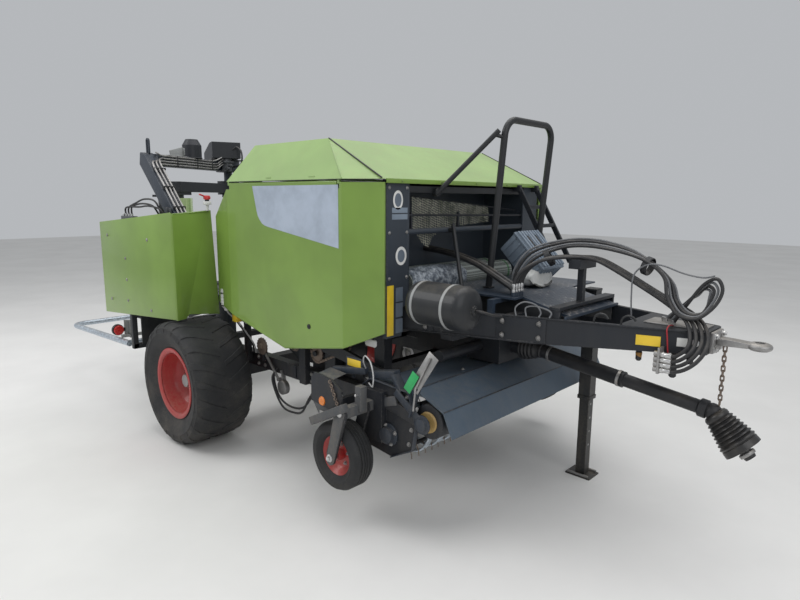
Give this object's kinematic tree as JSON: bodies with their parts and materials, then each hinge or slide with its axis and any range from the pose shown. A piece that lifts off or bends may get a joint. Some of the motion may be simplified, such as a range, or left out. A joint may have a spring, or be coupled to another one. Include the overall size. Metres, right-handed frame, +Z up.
{
  "type": "round baler with bale wrapper",
  "caption": "Towed round baler with a bale wrapper behind it: press chamber with swing-up doors and tailgate, lifting pick-up, turning wrap arms, tilting table and drawbar.",
  "frame": {"origin": "middle of the whole machine at floor level", "axes": "+X forward to the hitch eye, +Y to the machine's left, +Z up"},
  "size_m": [7.0106, 2.94, 2.7124],
  "materials": {
    "dark_paint": "satin dark grey",
    "slate_paint": "satin blue-grey",
    "green_paint": "gloss light green",
    "red_paint": "gloss red",
    "bare_steel": "worn bare steel",
    "galvanised": "dull zinc coat",
    "tyre": "matt black",
    "rubber": "matt black",
    "black_plastic": "matt black",
    "grey_plastic": "matt grey",
    "red_plastic": "gloss red",
    "film": "glossy pale green film",
    "net": "knitted net on a roll"
  },
  "bodies": {
    "machine": {"frame": "dark_paint", "axle": "dark_paint", "chamber_front": "dark_paint", "front_frame": "dark_paint", "net_rolls": "net", "roof": "green_paint", "guard_right": "green_paint", "guard_left": "green_paint", "drawbar": "dark_paint", "hitch_eye": "bare_steel", "gearbox": "dark_paint", "pto_shaft": "black_plastic", "pto_cone": "black_plastic", "support_chain": "bare_steel", "jack_tube": "dark_paint", "deck": "slate_paint", "hoop_rail": "dark_paint", "ladder": "dark_paint", "air_tank": "dark_paint", "hose_support": "bare_steel", "ribbed_box": "grey_plastic", "wrap_boom": "slate_paint", "boom_cover": "slate_paint", "rear_guard": "galvanised", "mudguards": "rubber", "lamps": "red_plastic", "plug_holder": "bare_steel", "hose_1": "rubber", "hose_2": "rubber", "hose_3": "rubber", "hose_4": "rubber"},
    "wheel_right": {"tyre_right": "tyre", "rim_right": "red_paint"},
    "wheel_left": {"tyre_left": "tyre", "rim_left": "red_paint"},
    "gate": {"tailgate": "green_paint"},
    "side_door_right": {"door_right": "green_paint"},
    "side_door_left": {"door_left": "green_paint"},
    "jack": {"jack_leg": "dark_paint"},
    "pickup": {"pickup_frame": "dark_paint", "pickup_hood": "slate_paint"},
    "reel": {"pickup_reel": "bare_steel"},
    "roller": {"press_roller": "dark_paint"},
    "guide_right": {"guide_tyre_right": "tyre", "guide_rim_right": "red_paint"},
    "guide_left": {"guide_tyre_left": "tyre", "guide_rim_left": "red_paint"},
    "rotor": {"wrap_rotor": "dark_paint", "film_rolls": "film"},
    "table": {"wrap_table": "dark_paint"},
    "belt_front": {"table_roller_front": "bare_steel"},
    "belt_rear": {"table_roller_rear": "bare_steel"}
  },
  "joints": [
    {"name": "wheel_right_spin", "type": "hinge", "parent": "machine", "child": "wheel_right", "pos_m": [-0.586, -1.21, 0.54], "axis": [0, 1, 0], "continuous": true},
    {"name": "wheel_left_spin", "type": "hinge", "parent": "machine", "child": "wheel_left", "pos_m": [-0.586, 1.21, 0.54], "axis": [0, 1, 0], "continuous": true},
    {"name": "gate_lift", "type": "hinge", "parent": "machine", "child": "gate", "pos_m": [0.394, 0, 2.12], "axis": [0, 1, 0], "range_deg": [0, 50]},
    {"name": "door_right_lift", "type": "hinge", "parent": "machine", "child": "side_door_right", "pos_m": [0.564, -1.0875, 2.2225], "axis": [-1, 0, 0], "range_deg": [0, 85]},
    {"name": "door_left_lift", "type": "hinge", "parent": "machine", "child": "side_door_left", "pos_m": [0.564, 1.0875, 2.2225], "axis": [1, 0, 0], "range_deg": [0, 85]},
    {"name": "jack_slide", "type": "slide", "parent": "machine", "child": "jack", "axis": [0, 0, 1], "range_m": [0, 0.5]},
    {"name": "pickup_lift", "type": "hinge", "parent": "machine", "child": "pickup", "pos_m": [0.714, 0, 1], "axis": [0, 1, 0], "range_deg": [0, 22]},
    {"name": "reel_spin", "type": "hinge", "parent": "pickup", "child": "reel", "pos_m": [1.644, 0, 0.62], "axis": [0, 1, 0], "continuous": true},
    {"name": "press_roller_spin", "type": "hinge", "parent": "pickup", "child": "roller", "pos_m": [1.939, 0, 0.77], "axis": [0, 1, 0], "continuous": true},
    {"name": "guide_right_spin", "type": "hinge", "parent": "pickup", "child": "guide_right", "pos_m": [1.394, -1.225, 0.47], "axis": [0, 1, 0], "continuous": true},
    {"name": "guide_left_spin", "type": "hinge", "parent": "pickup", "child": "guide_left", "pos_m": [1.394, 1.225, 0.47], "axis": [0, 1, 0], "continuous": true},
    {"name": "rotor_spin", "type": "hinge", "parent": "machine", "child": "rotor", "pos_m": [-1.986, 0, 2.22], "axis": [0, 0, 1], "continuous": true},
    {"name": "table_tilt", "type": "hinge", "parent": "machine", "child": "table", "pos_m": [-2.316, 0, 0.83], "axis": [0, -1, 0], "range_deg": [0, 30]},
    {"name": "belt_front_spin", "type": "hinge", "parent": "table", "child": "belt_front", "pos_m": [-1.636, 0, 1], "axis": [0, 1, 0], "continuous": true},
    {"name": "belt_rear_spin", "type": "hinge", "parent": "table", "child": "belt_rear", "pos_m": [-2.336, 0, 1], "axis": [0, 1, 0], "continuous": true}
  ],
  "couplings": [
    {"joint": "belt_rear_spin", "follows": "belt_front_spin", "ratio": 1}
  ]
}
